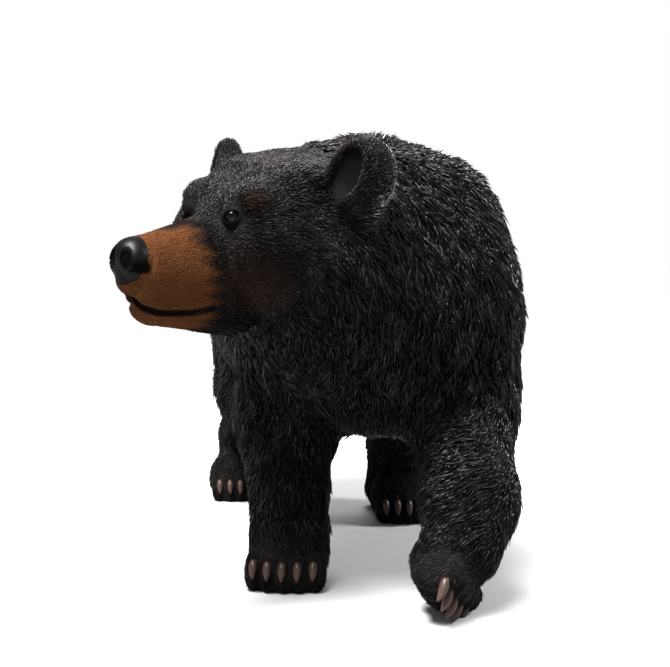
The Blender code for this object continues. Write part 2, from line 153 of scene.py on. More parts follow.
# %% A local frame in which lumps are added
class Place:
    def __init__(self, lumps, at, axes):
        self.lumps = lumps
        self.at = Vector(at)
        self.axes = axes

    def point(self, p):
        return self.at + self.axes @ Vector(p)

    def onto(self, p):
        spot = np.array([self.point(p)])
        for _ in range(8):
            touched = [lump.near(spot) for lump in self.lumps]
            up = slope(spot, self.lumps, touched)
            spot = spot - form(spot, self.lumps, touched)[:, None] * up / np.sum(up * up)
        return self.axes.transposed() @ (Vector(spot[0]) - self.at)

    def add(self, a, radii, b=None, radii_b=None, axes=None, comb=None, **rest):
        axes = self.axes if axes is None else self.axes @ axes
        b = None if b is None else self.point(b)
        comb = None if comb is None else self.axes @ Vector(comb)
        self.lumps.append(Lump(self.point(a), radii, b, radii_b, axes=axes, comb=comb, **rest))


# %% [markdown]
# ## The trunk
# Chest, barrel and rump are three big lumps, with a ridge of hump and spine over them, and shoulders
# and haunches at the sides. The hair runs back along the spine and down the flanks.

# %% Trunk and neck
back = (0, 0.75, -0.66)
lumps = [
    Lump((0, 13, 56), (23.5, 25, 28), blend=8, comb=(0, 0.3, -1), coat=1),
    Lump((0, 42, 56), (31, 33, 28), blend=10, comb=back, coat=1),
    Lump((0, 57, 52), (32.5, 32, 24), blend=8, comb=back, coat=1),
    Lump((0, 84, 57), (29, 29, 28), blend=10, comb=back, coat=1),
    Lump((-2, 12, 73.5), (11.5, 18, 15), (0, 40, 69.5), (12, 20, 14.5), blend=10,
         comb=(0, 1, -0.35), coat=1),
    Lump((0, 40, 67), (16.5, 18, 16), (0, 92, 66), (15, 16, 16), blend=10, comb=(0, 1, -0.4), coat=1),
    Lump((0, -4, 50.5), (17, 13, 18), blend=10, comb=(0, -0.1, -1), coat=1),
    Lump((0, 110, 66), (4, 4, 5), (0, 115.5, 57), (3, 3, 4), blend=3, comb=(0, 0.4, -1), coat=1),
]
for side in (-1, 1):
    lumps += [
        Lump((side * 15.9, 9, 57), (11.2, 18, 22), axes=turned(nod=-10), blend=7,
             comb=(0, 0.25, -1), coat=1),
        Lump((side * 12.5, 12, 74.2), (9.5, 14, 10), blend=6, comb=(side * 0.2, 0.7, -0.7), coat=1),
        Lump((side * 18.6, 88, 50), (12.5, 22, 24), blend=7, comb=(0, 0.45, -1), coat=1),
    ]
neck_hair = (0.1, 0.15, -1)
lumps += [
    Lump((0, 6, 62.5), (19.5, 19, 20.5), (-13, -6.5, 67.3), (17, 16, 18), blend=10,
         comb=neck_hair, coat=1),
    Lump((-1, 0, 53), (15, 13, 18), (-15.8, -12.6, 59), (13.4, 12, 15), blend=8,
         comb=neck_hair, coat=1),
]
print("trunk and neck:", len(lumps), "lumps")

# %% [markdown]
# ## The head
# The head has its own frame, turned to the bear's right and tipped a little. Skull, cheeks and ruff
# come first, then the muzzle, whose mouth is a thin path of cuts laid onto the finished surface.

# %% Skull and muzzle
HEAD_AT = (-21.6, -12.0, 70.6)
HEAD_AXES = turned(turn=50.6, nod=2.6, tilt=8.0)
head = Place([], HEAD_AT, HEAD_AXES)
head.add((0, 1, 0), (13, 14, 11), blend=5, comb=(0, 1, -0.15), coat=0.5)
head.add((0, -9, 0.3), (9.6, 8, 7.6), blend=4, comb=(0, 1, -0.15), coat=0.25)
for side in (-1, 1):
    head.add((side * 6.5, -1.5, 3.0), (7.5, 10, 8.2), blend=5, comb=(0, 1, -0.15), coat=0.45)
    head.add((side * 8, -5, -6), (7.6, 11, 9), blend=5, comb=(side * 0.3, 1, -0.7), coat=0.3)
    head.add((side * 10, 5, -8), (9, 11, 13), blend=6, comb=(side * 0.2, 0.4, -1), coat=0.8)
    head.add((side * 6.0, -13.5, 4.0), (3.9, 3.3, 2.7), blend=3, comb=(side * 0.5, 1, 0.4), coat=0.2)
    head.add((side * 8.0, -12.5, -3), (4, 5, 4), blend=4, comb=(side * 0.4, 1, -0.5), coat=0.2)
for cheek, cheek_radii, front, front_radii, blend in (
        ((0, -16, -3.4), (5.0, 6, 5.2), (0, -30, -6.0), (3.4, 5, 4.2), 3),
        ((0, -17, -9), (7.1, 7, 6.5), (0, -29.3, -9.3), (4.9, 4.8, 4.9), 3),
        ((0, -13, -14), (6.7, 8, 6), (0, -28.2, -13.7), (4.2, 4.4, 3.6), 1.6)):
    head.add(cheek, cheek_radii, front, front_radii, blend=blend, comb=(0, 1, 0), coat=0.1)

# %% The line of the mouth
LIP = ((0, -34.5, -12.2), (1.7, -32.6, -13.6), (3.6, -29.8, -14.5),     # the left half of the mouth,
       (4.4, -26.6, -14.8), (5.0, -23.0, -14.7), (5.6, -19.8, -14.1))   # from its middle to its corner
LIP_STEPS = 16
lip = []
for k in range(LIP_STEPS + 1):
    t = k / LIP_STEPS * (len(LIP) - 1)
    near = min(int(t), len(LIP) - 2)
    lip.append(head.onto(Vector(LIP[near]).lerp(Vector(LIP[near + 1]), t - near)))
for side in (-1, 1):
    path = [(side * x, y, z) for x, y, z in lip]
    for k, (start, end) in enumerate(zip(path, path[1:])):
        depth = 0.26 + 0.16 * k / LIP_STEPS
        head.add(start, depth, end, depth, blend=0.6, cut=True)
print("mouth corner:", rounded(lip[-1], 1))

# %% Nose, eye hollows and ears
EYE_RADIUS = 1.35
EYE_AT = (5.75, -17.0, 1.5)
EYE_AIM = (0.62, -0.78, 0.08)


def on_side(side, place):
    return Vector((side * place[0], place[1], place[2]))


head.add((0, -33.2, -5.4), (3.4, 3.0, 3.1), blend=1.0)
head.add((0, -33.6, -9.0), (2.5, 2.0, 2.6), blend=1.2)
for side in (-1, 1):
    head.add((side * 1.95, -33.7, -6.4), (1.9, 2.3, 2.5), blend=0.8)
    flare = turned(turn=side * -20, tilt=side * -15)
    head.add((side * 1.8, -35.6, -5.9), (1.0, 2.0, 1.5), axes=flare, blend=0.5, cut=True)
    head.add((side * 2.3, -35.5, -6.7), 0.5, (side * 4.1, -33.3, -7.0), 0.34, blend=0.4, cut=True)
head.add((0, -36.4, -8.6), 0.26, (0, -35.5, -12.0), 0.30, blend=0.4, cut=True)


def ear(side, at, radii, turn):
    axes = turned(turn=-side * turn, nod=-6) @ turned(tilt=side * 16)
    hollow = Vector(at) + axes @ Vector((0, -radii[1] * 0.95, 0.3))
    head.add(at, radii, axes=axes, blend=2.6, comb=(side * 0.2, 0.7, 0.7), coat=0.35)
    inside = (radii[0] * 0.56, radii[1] * 0.75, radii[2] * 0.66)
    head.add(hollow, inside, axes=axes, blend=1.3, cut=True)
    return head.lumps[-1]


hollows = [ear(1, (16.4, 2.8, 9.2), (5.8, 6.2, 7.4), 4),
           ear(-1, (-15.8, -0.2, 7.7), (5.2, 3.4, 6.7), 32)]
for side in (-1, 1):
    at = on_side(side, EYE_AT)
    aim = on_side(side, EYE_AIM).normalized()
    look = turned(turn=-side * math.degrees(math.atan2(EYE_AIM[0], -EYE_AIM[1])), tilt=side * -26)
    head.add(at + aim * 2.2 + Vector((-side * 0.6, 0, -0.2)), (2.3, 1.6, 1.5), blend=2.0, cut=True)
    head.add(at, EYE_RADIUS + 0.34, blend=1.3)
    head.add(at + aim * 1.75, (1.6, 1.5, 0.92), axes=look, blend=0.25, cut=True)
lumps += head.lumps
print("head:", len(head.lumps), "lumps")

# %% [markdown]
# ## Legs and paws
# A leg is a chain of swept lumps from the shoulder or hip to the wrist or hock. Every paw is a palm
# with five toes side by side. The places of the claws are kept, because the claws are made later as
# their own smooth pieces.

# %% A paw
STANDING_CLAW = ((0.9, 0.60, 0), (-0.35, 0.25, 0), (-0.5, -0.17, 0))
LIFTED_CLAW = ((1.3, 0.45, -1.2), (-0.7, 0.45, -0.5), (-2.3, 0.20, 0.3))
claw_paths = []
toe_rows = []


def paw(at, axes, width, length, spread, toe, drop, palm=(0, 0, 0), thick=7.8, lean=0.0,
        claw=STANDING_CLAW):
    place = Place(lumps, at, axes)
    toe_rows.append(place.point((0, -length, drop)))
    forward = (0, -0.8, -0.6)
    place.add(palm, (width, length, thick), blend=4, comb=forward, coat=0.3)
    for k in range(-2, 3):
        x = k * spread
        front = -length - 1.9 + 0.34 * k * k + lean * k
        place.add((x, front + toe[1], drop), toe, axes=turned(turn=-k * 3), blend=1.5,
                  comb=forward, coat=0.05)
        root, middle, tip = ((x + aside, front + behind, drop + share * toe[2])
                             for behind, share, aside in claw)
        claw_paths.append((place.point(root), place.point(middle), place.point(tip), axes))


# %% The four legs
leg_hair = (0, 0.15, -1)
across = (-0.75, 0.2, -0.6)
lumps += [
    Lump((-17.5, 7, 52), (11, 13, 14), (-18.6, 12, 34), (9.4, 11, 10), blend=6, comb=leg_hair, coat=1),
    Lump((-18.6, 12, 34), (9.4, 11, 10), (-18.8, 4, 13), (7.5, 7.7, 7), blend=6,
         comb=leg_hair, coat=0.7),
    Lump((16.6, 6, 52), (10.3, 13, 14), (16.1, 4, 36), (9.9, 11, 10), blend=6, comb=leg_hair, coat=1),
    Lump((16.1, 4, 36), (9.9, 10.5, 10), (13.0, -16.0, 19), (8.0, 7.8, 7.6), blend=6,
         comb=across, coat=0.7),
    Lump((13.0, -16.0, 19), (7.9, 7.4, 7.4), (11.2, -21.5, 13), (6.8, 6.2, 7), blend=5,
         comb=across, coat=0.5),
]
paw((-18.9, 2.0, 5.9), turned(turn=14), width=7.5, length=8.0, spread=2.9,
    toe=(2.1, 3.6, 4.4), drop=-2.5)
lifted = aimed((-0.373, -0.747, -0.55), (0.864, -0.489, 0.079))
paw((11.2, -24.0, 8.0), lifted, width=5.8, length=6.8, spread=2.8, toe=(2.1, 3.8, 4.4),
    drop=-3.1, palm=(-1.2, 0, -3.9), thick=6.5, lean=1.25, claw=LIFTED_CLAW)


def hind_leg(hip, knee, hock, heel, ball):
    hind_hair = (0, 0.35, -1)
    lumps.extend([
        Lump(hip, (12, 17, 18), knee, (10.5, 12, 11), blend=7, comb=hind_hair, coat=1),
        Lump(knee, (10, 11, 11), hock, (7.3, 7.4, 6.7), blend=6, comb=hind_hair, coat=0.8),
        Lump(hock, (7.3, 7.4, 6.7), heel, (6.5, 5.8, 6.4), blend=4, comb=hind_hair, coat=0.5),
        Lump(heel, (6.2, 5.8, 6.4), ball, (6.6, 6, 5.6), blend=4, comb=(0, -0.6, -0.7), coat=0.3),
    ])
    paw(ball, turned(turn=0), width=7.2, length=7.4, spread=2.75, toe=(1.95, 3.4, 4.4), drop=-2.2)


hind_leg((-18, 86, 46), (-20, 76, 33), (-22.0, 103, 17), (-24, 107, 5.6), (-25.3, 96, 5.4))
hind_leg((18, 82, 46), (19, 64, 32), (17.2, 80, 16), (15.4, 79, 5.6), (14.7, 61.5, 5.4))
print("whole bear:", len(lumps), "lumps,", len(claw_paths), "claws")

# %% [markdown]
# ## Fusing the skin
# The lumps become hulls, and a voxel remesh fuses them into one closed skin of even squares. Each
# vertex then walks down the distance function until it lies on the smooth surface. The face and the
# toes are split finer first, because lids, lips and nostrils are only millimetres wide.

# %% Hulls and voxel remesh
GRAIN = 0.95                # the size of the skin's squares


def triples(items, name):
    flat = np.empty(len(items) * 3)
    items.foreach_get(name, flat)
    return flat.reshape(-1, 3)


def mesh_from(work, name):
    mesh = bpy.data.meshes.new(name)
    work.to_mesh(mesh)
    work.free()
    return mesh


def in_scene(name, data):
    thing = bpy.data.objects.new(name, data)
    bpy.context.scene.collection.objects.link(thing)
    return thing


def evaluated(thing):
    graph = bpy.context.evaluated_depsgraph_get()
    mesh = bpy.data.meshes.new_from_object(thing.evaluated_get(graph))
    bpy.data.objects.remove(thing)
    return mesh


def fuse():
    heap = bmesh.new()
    for lump in lumps:
        if lump.cut:
            continue
        hull = bmesh.new()
        for centre, radii in ((lump.a, lump.radii_a), (lump.b, lump.radii_b)):
            place = (Matrix.Translation(Vector(centre)) @ Matrix(lump.axes.tolist()).to_4x4()
                     @ Matrix.Diagonal((*radii, 1)))
            bmesh.ops.create_uvsphere(hull, u_segments=20, v_segments=12, radius=1, matrix=place)
        made = bmesh.ops.convex_hull(hull, input=hull.verts)
        inner = {v for v in made["geom_interior"] if isinstance(v, bmesh.types.BMVert)}
        bmesh.ops.delete(hull, geom=list(inner), context="VERTS")
        mesh = mesh_from(hull, "hull")
        heap.from_mesh(mesh)
        bpy.data.meshes.remove(mesh)
    clay = in_scene("heap", mesh_from(heap, "heap"))
    remesh = clay.modifiers.new("fuse", "REMESH")
    remesh.mode = "VOXEL"
    remesh.voxel_size = GRAIN
    return evaluated(clay)


# %% Settling onto the smooth surface
LONGEST_STEP = 1.5
LEAST_SLOPE = 0.5           # where the distance changes less than this, a step is not made longer


def settle(mesh, rounds, relax=0.5):
    points = triples(mesh.vertices, "co")
    touched = [lump.near(points) for lump in lumps]
    ends = np.empty(len(mesh.edges) * 2, int)
    mesh.edges.foreach_get("vertices", ends)
    ends = ends.reshape(-1, 2)
    count = np.bincount(ends.ravel(), minlength=len(points))[:, None]
    for k in range(rounds):
        distance = form(points, lumps, touched)[:, None]
        up = slope(points, lumps, touched)
        step = distance * up / np.maximum(np.sum(up * up, axis=1, keepdims=True), LEAST_SLOPE ** 2)
        length = np.linalg.norm(step, axis=1, keepdims=True)
        points = points - step * np.minimum(1, LONGEST_STEP / np.maximum(length, 1e-9))
        if k < rounds - 1:
            total = np.zeros_like(points)
            np.add.at(total, ends[:, 0], points[ends[:, 1]])
            np.add.at(total, ends[:, 1], points[ends[:, 0]])
            pull = total / count - points
            up /= np.maximum(np.linalg.norm(up, axis=1, keepdims=True), 1e-9)
            pull -= np.sum(pull * up, axis=1, keepdims=True) * up
            points = points + relax * pull
    mesh.vertices.foreach_set("co", points.ravel())
    mesh.update()
    return touched


def split_finer(mesh, balls):
    work = bmesh.new()
    work.from_mesh(mesh)
    edges = [e for e in work.edges
             if all(any((v.co - middle).length < reach for middle, reach in balls) for v in e.verts)]
    bmesh.ops.subdivide_edges(work, edges=edges, cuts=1, use_grid_fill=True)
    work.to_mesh(mesh)
    work.free()


# %% The settled skin
eyes_at = [head.point(on_side(side, EYE_AT)) for side in (1, -1)]
face_at = head.point((0, -20, -5))
muzzle_at = head.point((0, -29, -9))
skin_mesh = fuse()
settle(skin_mesh, 5)
split_finer(skin_mesh, [(face_at, 18)] + [(toe, 9) for toe in toe_rows])
settle(skin_mesh, 2)
split_finer(skin_mesh, [(muzzle_at, 10)] + [(eye, 4.5) for eye in eyes_at])
touched = settle(skin_mesh, 3)
print("settled skin:", len(skin_mesh.vertices), "vertices,", len(skin_mesh.polygons), "faces")

# %% [markdown]
# ## Carving
# Hair lies along the surface in the direction that the nearest lumps comb it, and two slow waves
# swing it into strands. The big locks are raised in the skin itself: each is a leaf that rises from
# its root to a pointed tip and lies over the next one, as shingles do. They are random, with a fixed
# seed, so the bear is the same each time.

# %% Which way the hair lies
COMB_REACH = 2.5            # how far a lump's hair is felt from its surface


def combed(points, normals):
    flow = np.zeros_like(points)
    shag = np.zeros(len(points))
    total = np.full(len(points), 1e-9)
    for lump, touch in zip(lumps, touched):
        if lump.cut or lump.comb is None:
            continue
        weight = np.exp(-np.abs(lump.distance(points[touch])) / COMB_REACH)
        flow[touch] += weight[:, None] * lump.comb / np.linalg.norm(lump.comb)
        shag[touch] += weight * lump.coat
        total[touch] += weight
    flow -= np.sum(flow * normals, axis=1, keepdims=True) * normals
    flow /= np.maximum(np.linalg.norm(flow, axis=1, keepdims=True), 1e-6)
    shag /= total
    x, y, z = points.T
    wave = 0.34 * np.sin(0.62 * z + 0.45 * x + 0.2 * y) + 0.30 * np.sin(0.71 * y - 0.5 * z + 0.9 * x)
    wave = (wave * shag)[:, None]
    return np.cos(wave) * flow + np.sin(wave) * np.cross(normals, flow), shag


def soft(value, start, end):
    share = np.clip((value - start) / (end - start), 0, 1)
    return share * share * (3 - 2 * share)


def within(points, middle, radii, edge, core):
    return soft(np.linalg.norm((points - np.array(middle)) / radii, axis=1), edge, core)


def to_head(points):
    return (points - np.array(HEAD_AT)) @ np.array(HEAD_AXES)


smooth_points = triples(skin_mesh.vertices, "co")
smooth_normals = triples(skin_mesh.vertex_normals, "vector")
flow, shag = combed(smooth_points, smooth_normals)
h = to_head(smooth_points)
ears = np.maximum(within(h, (16.6, 1.6, 11.0), 1, 8.5, 6.5),
                  within(h, (-16.2, -0.2, 9.5), 1, 8.5, 6.5))
shag *= 1 - 0.65 * ears
print("shag from", round(float(shag.min()), 2), "to", round(float(shag.max()), 2))

# %% Big locks, raised in the skin
BIG_LOCK = {"long": 9.0, "wide": 1.9, "apart": 2.7, "deep": 0.72}
LEAST_SHAG = 0.25           # shorter hair has no big locks
LOWEST_ROOT = 2.5           # nor has the skin just above the floor
SOLE = 0.6                  # nothing is carved below this
SUNK = 0.3                  # how far shaggy skin lies under its locks


def carve(points, normals, seed):
    chance = random.Random(seed)
    tree = kdtree.KDTree(len(points))
    for k, p in enumerate(points):
        tree.insert(p, k)
    tree.balance()
    order = list(range(len(points)))
    chance.shuffle(order)
    taken = np.zeros(len(points), bool)
    raised = np.zeros(len(points))
    for k in order:
        if taken[k] or shag[k] < LEAST_SHAG or points[k, 2] < LOWEST_ROOT:
            continue
        size = 0.4 + 0.6 * shag[k]
        room = BIG_LOCK["apart"] * size * chance.uniform(0.8, 1.2)
        for _, near, _ in tree.find_range(points[k], room):
            taken[near] = True
        length = BIG_LOCK["long"] * size * chance.uniform(0.7, 1.2)
        width = BIG_LOCK["wide"] * size * chance.uniform(0.7, 1.2)
        height = BIG_LOCK["deep"] * shag[k] * chance.uniform(0.5, 1.3)
        angle = math.radians(chance.gauss(0, 14))
        sideways = np.cross(normals[k], flow[k])
        ahead = math.cos(angle) * flow[k] + math.sin(angle) * sideways
        sideways = np.cross(normals[k], ahead)
        reached = np.array([near for _, near, _ in tree.find_range(points[k], length)])
        offset = points[reached] - points[k]
        share = offset @ ahead / length
        inside = (share > 0) & (share < 1) & (normals[reached] @ normals[k] > 0.2)
        share = share[inside]
        half = width * 1.6 * np.sqrt(share) * (1 - share) ** 0.6 + 0.02
        ridge = 1 - np.abs(offset[inside] @ sideways) / half
        lift = height * share ** 0.6 * np.clip(ridge, 0, None) ** 0.7
        reached = reached[inside]
        raised[reached] = np.maximum(raised[reached], lift)
    carved = points + normals * (raised - SUNK * np.clip(shag, 0, 1))[:, None]
    carved[:, 2] = np.where(points[:, 2] < SOLE, points[:, 2], carved[:, 2])
    return carved


carved = carve(smooth_points, smooth_normals, seed=7)
print("carved up to", round(float(np.max((carved - smooth_points) * smooth_normals)), 2), "units")

# %% [markdown]
# ## Where the paint goes
# The painter's areas are worked out once, from places on the head: the tan of the muzzle, the black
# leather of the nose, the dark line of the mouth and the lids, painted shade in the nostrils and the
# ear hollows, and the brown spots over the eyes. They are stored on the skin as numbers from 0 to 1,
# so paint and locks can read them anywhere.

# %% Paint areas as numbers on the skin
def path_distance(points, path):
    nearest = np.full(len(points), np.inf)
    for start, end in zip(path, path[1:]):
        start, along = np.array(start), np.array(end) - np.array(start)
        share = np.clip((points - start) @ along / (along @ along), 0, 1)[:, None]
        nearest = np.minimum(nearest, np.linalg.norm(points - start - share * along, axis=1))
    return nearest


NOSE_EDGE = ((-9.8, -35.2), (-8.9, -34.1), (-5.9, -32.8), (-3.5, -32.3), (-2.0, -32.3))
TAN_EDGE = ((-19.5, -22.0), (-17.2, -19.5), (-13.6, -18.6), (-9.0, -19.6), (-4.7, -20.6),
            (-1.15, -21.6), (0.25, -23.5), (1.5, -26.5))
NOSTRIL = ((1.8, -35.8, -4.6), (1.8, -35.6, -6.4), (2.3, -35.5, -6.5), (4.1, -33.3, -6.9))


def ahead_of(edge):
    heights, fronts = zip(*edge)
    return np.interp(h[:, 2], heights, fronts) - h[:, 1]


on_head = within(h, (0, -12, -4), 1, 27, 24)
mirrored = np.abs(h) * (1, 0, 0) + h * (0, 1, 1)
nose_area = soft(ahead_of(NOSE_EDGE), -0.1, 0.25) * soft(h[:, 2], -10.3, -9.6) * on_head
ragged = 0.7 * np.sin(2.3 * h[:, 2] + 1.1 * h[:, 0]) + 0.5 * np.sin(5.1 * h[:, 2] - 2.0 * h[:, 1])
tan_area = soft(ahead_of(TAN_EDGE) + ragged, -1.6, 3.2) * on_head * (1 - nose_area)
bridge = soft(h[:, 2] + 0.12 * (h[:, 1] + 20), -2.6, -1.4) * soft(mirrored[:, 0], 2.2, 0.6)
tan_area *= 1 - 0.75 * bridge
lip_distance = path_distance(mirrored, [tuple(p) for p in lip])
in_nostril = soft(path_distance(mirrored, NOSTRIL), 1.25, 0.80) * on_head
in_ear = np.max([soft(hollow.distance(smooth_points), 0.5, -0.1) for hollow in hollows], axis=0)
eye_spot = np.linalg.norm(mirrored - np.array(EYE_AT), axis=1)
# the mouth line and lids are dark paint; the nostrils and ear hollows are darkened as painted shade
lines_and_painted_shade = np.max([soft(lip_distance, 0.78, 0.50) * on_head, in_nostril, in_ear,
                    soft(eye_spot, 1.95, 1.6) * on_head], axis=0)
spot_area = within(mirrored, (9.0, -14.5, 4.6), (3.0, 3.5, 2.0), 1.2, 0.3)
ember_area = within(mirrored, (9.0, -13.0, -9.0), (6.0, 7.0, 6.5), 1.3, 0.4)
print("tan vertices:", int((tan_area > 0.5).sum()), "nose:", int((nose_area > 0.5).sum()))

# %% How long the hair is, and where each size of lock grows
muzzle_share = np.maximum(soft(h[:, 1], -20.0, -23.5) * on_head, tan_area)
face_share = within(h, (0, -8, 0), (19, 19, 17), 1.08, 0.9)
bare = np.maximum(np.maximum(nose_area, in_ear), soft(eye_spot, 2.2, 1.7))
claw_distance = np.min([path_distance(smooth_points, claw[:3]) for claw in claw_paths], axis=0)
toe_distance = np.min([np.linalg.norm(smooth_points - np.array(toe), axis=1)
                       for toe in toe_rows], axis=0)
low = smooth_points[:, 2] < 1.0
on_face = ((face_share > 0.3) | (ears > 0.3)) & (muzzle_share < 0.55) & (bare < 0.5)
on_muzzle = (muzzle_share >= 0.55) & (bare < 0.5) & (lip_distance > 0.7)
on_paws = (toe_distance < 11.5) & ~low & (claw_distance > 1.1)
on_body = ~on_face & (muzzle_share < 0.55) & (bare < 0.5) & (toe_distance >= 10.5) & ~low
print("face", int(on_face.sum()), "muzzle", int(on_muzzle.sum()), "paws", int(on_paws.sum()),
      "body", int(on_body.sum()), "vertices")

# %% [markdown]
# ## From the sculptor's unit to the frame
# The solids stand with their middle over the origin. The centre of the left eye is known in both, so
# it gives the shift exactly.

# %% The skin as an object
left_low, left_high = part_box("left_eye")
eye_centre = (Vector(left_low) + Vector(left_high)) / 2
UNIT = 0.01
shift = eye_centre - eyes_at[0] * UNIT
to_frame = Matrix.Translation(shift) @ Matrix.Scale(UNIT, 4)
print("shift:", rounded(shift, 4))


def keep_numbers(mesh, name, values, kind="FLOAT"):
    layer = mesh.attributes.new(name, kind, "POINT")
    values = np.asarray(values)
    if kind == "FLOAT_VECTOR":
        layer.data.foreach_set("vector", values.ravel().astype(float))
    else:
        layer.data.foreach_set("value", values)


skin_mesh.name = "bear_skin"
skin_mesh.vertices.foreach_set("co", carved.ravel())
skin_mesh.transform(to_frame)
keep_numbers(skin_mesh, "flow", flow, "FLOAT_VECTOR")
for name, values in (("shag", shag), ("tan", tan_area), ("nose", nose_area), ("dark", lines_and_painted_shade),
                     ("spot", spot_area), ("ember", ember_area)):
    keep_numbers(skin_mesh, name, values)
left_half = smooth_points[:, 0] > -4
rear = smooth_points[:, 1] > 45
for name, values in (("on_face", on_face), ("on_muzzle", on_muzzle), ("on_paws", on_paws),
                     ("on_left_front", on_body & left_half & ~rear),
                     ("on_right_front", on_body & ~left_half & ~rear),
                     ("on_left_rump", on_body & rear & (smooth_points[:, 0] > 0)),
                     ("on_right_rump", on_body & rear & (smooth_points[:, 0] <= 0))):
    keep_numbers(skin_mesh, name, values, "BOOLEAN")
skin_mesh.shade_smooth()
skin = in_scene("bear_skin", skin_mesh)
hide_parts("bear")
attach(skin, "root")
print("skin:", sum(len(p.vertices) - 2 for p in skin_mesh.polygons), "triangles")

# %% [markdown]
# ## Paint
# The bear is sprayed near black, and the ridges of the hair are lighter in a greyer brown: partly
# dry-brushed paint, partly a painted highlight where light catches them. The muzzle is tan, fading
# into the black through brown. One function mixes those paints for the skin, the leather of the nose
# and the locks, so they match where they meet, and each has its own gloss.
# Broad noise gathers the lighter ridges in clumps, fine stretched noise draws the thinnest hairs, and
# a bump gives those relief.

# %% Small helpers for node trees
def link(tree, source, name, target, place):
    tree.links.new(source.outputs[name], target.inputs[place])


def node(tree, kind, inputs=None, **settings):
    made = tree.nodes.new(kind)
    for name, value in settings.items():
        setattr(made, name, value)
    for place, value in (inputs or {}).items():
        made.inputs[place].default_value = value
    return made


def number_on(tree, name):
    return node(tree, "ShaderNodeAttribute", attribute_name=name)


def mixed(tree, share, low, high):
    made = node(tree, "ShaderNodeMix", data_type="RGBA", clamp_factor=True)
    for place, value in (("A", low), ("B", high)):
        socket = next(s for s in made.inputs if s.name == place and s.type == "RGBA")
        if isinstance(value, tuple):
            socket.default_value = (*value, 1)
        else:
            tree.links.new(value, socket)
    tree.links.new(share, made.inputs["Factor"])
    return next(s for s in made.outputs if s.type == "RGBA")


def new_paint(name):
    paint = bpy.data.materials.new(name)
    paint.use_nodes = True
    return paint, paint.node_tree, paint.node_tree.nodes["Principled BSDF"]


def sums(tree, operation, *values):
    made = node(tree, "ShaderNodeMath", operation=operation, use_clamp=True)
    for place, value in enumerate(values):
        if isinstance(value, (int, float)):
            made.inputs[place].default_value = value
        else:
            tree.links.new(value, made.inputs[place])
    return made.outputs[0]


# %% The paints, as the share of red, green and blue light that they send back
BLACK = (0.0020, 0.0017, 0.0015)
# greyer brown on the ridges of the hair: partly dry-brush paint, partly painted highlight
BRUSH_AND_HIGHLIGHT = (0.150, 0.132, 0.126)
TAN_DEEP = (0.115, 0.038, 0.012)
TAN_HIGH = (0.30, 0.120, 0.045)
SPOT_BROWN = (0.046, 0.019, 0.010)
LEATHER = (0.004, 0.003, 0.003)
# near black for the mouth line and lids, and painted shade in the nostrils and ear hollows
DARK_LINES_AND_SHADE = (0.003, 0.002, 0.002)


def stretched_noise(tree, scale, detail=3.0):
    place = node(tree, "ShaderNodeTexCoord")
    along_head = HEAD_AXES.inverted().to_euler()
    turn = node(tree, "ShaderNodeMapping", {"Rotation": along_head, "Scale": scale})
    noise = node(tree, "ShaderNodeTexNoise", {"Scale": 1.0, "Detail": detail})
    link(tree, place, "Object", turn, "Vector")
    link(tree, turn, "Vector", noise, "Vector")
    return noise.outputs["Fac"]


def fur_paint(name, ridge, roughness, gloss, hair_bump, bump_source):
    paint, tree, shader = new_paint(name)
    high = ridge(tree)
    blot = stretched_noise(tree, (22, 22, 22))
    tan, spot, ember = (number_on(tree, n).outputs["Fac"] for n in ("tan", "spot", "ember"))
    clump = node(tree, "ShaderNodeMapRange", interpolation_type="SMOOTHSTEP",
                 inputs={"From Min": 0.38, "From Max": 0.62, "To Min": 0.30, "To Max": 1.25})
    tree.links.new(stretched_noise(tree, (34, 34, 12)), clump.inputs["Value"])
    # the ridge share mixes in the lighter paint: partly dry-brush, partly painted highlight
    coat = mixed(tree, sums(tree, "MULTIPLY", high, clump.outputs["Result"]), BLACK, BRUSH_AND_HIGHLIGHT)
    coat = mixed(tree, sums(tree, "MULTIPLY", spot, 0.5), coat, SPOT_BROWN)
    coat = mixed(tree, sums(tree, "MULTIPLY", ember, 0.6), coat, SPOT_BROWN)
    # the ridge tops of the muzzle get the lighter tan, partly as a painted highlight
    tan_tone = sums(tree, "ADD", sums(tree, "MULTIPLY", high, 0.45), sums(tree, "MULTIPLY", blot, 0.4))
    muzzle = mixed(tree, tan_tone, TAN_DEEP, TAN_HIGH)
    muzzle = mixed(tree, sums(tree, "SUBTRACT", 1.0, tan), muzzle, SPOT_BROWN)
    colour = mixed(tree, tan, coat, muzzle)
    colour = mixed(tree, number_on(tree, "nose").outputs["Fac"], colour, LEATHER)
    # dark paint on the mouth line and lids, painted shade in the nostrils and ear hollows
    colour = mixed(tree, number_on(tree, "dark").outputs["Fac"], colour, DARK_LINES_AND_SHADE)
    tree.links.new(colour, shader.inputs["Base Color"])
    shader.inputs["Roughness"].default_value = roughness
    shader.inputs["Specular IOR Level"].default_value = gloss
    bump = node(tree, "ShaderNodeBump", {"Strength": 0.6, "Distance": hair_bump})
    tree.links.new(bump_source(tree), bump.inputs["Height"])
    link(tree, bump, "Normal", shader, "Normal")
    return paint


# %% Paint for the skin and for the locks
def fine_hairs(tree):
    return stretched_noise(tree, (700, 90, 700), detail=2.0)


def lock_ridge(tree):
    # the top of each lock's ridge is lighter: partly dry-brush paint, partly painted highlight
    ridge = number_on(tree, "ridge").outputs["Fac"]
    tone = number_on(tree, "tone").outputs["Fac"]
    brush_and_sheen = sums(tree, "ADD", sums(tree, "POWER", tone, 3.0), 0.04)
    return sums(tree, "MULTIPLY", sums(tree, "POWER", ridge, 2.6), brush_and_sheen)


def lock_strands(tree):
    place = node(tree, "ShaderNodeUVMap", uv_map="along")
    turn = node(tree, "ShaderNodeMapping", {"Scale": (9, 0.9, 1)})
    noise = node(tree, "ShaderNodeTexNoise", {"Scale": 1.0})
    link(tree, place, "UV", turn, "Vector")
    link(tree, turn, "Vector", noise, "Vector")
    return noise.outputs["Fac"]


def faint_hairs(tree):
    return sums(tree, "MULTIPLY", fine_hairs(tree), 0.10)


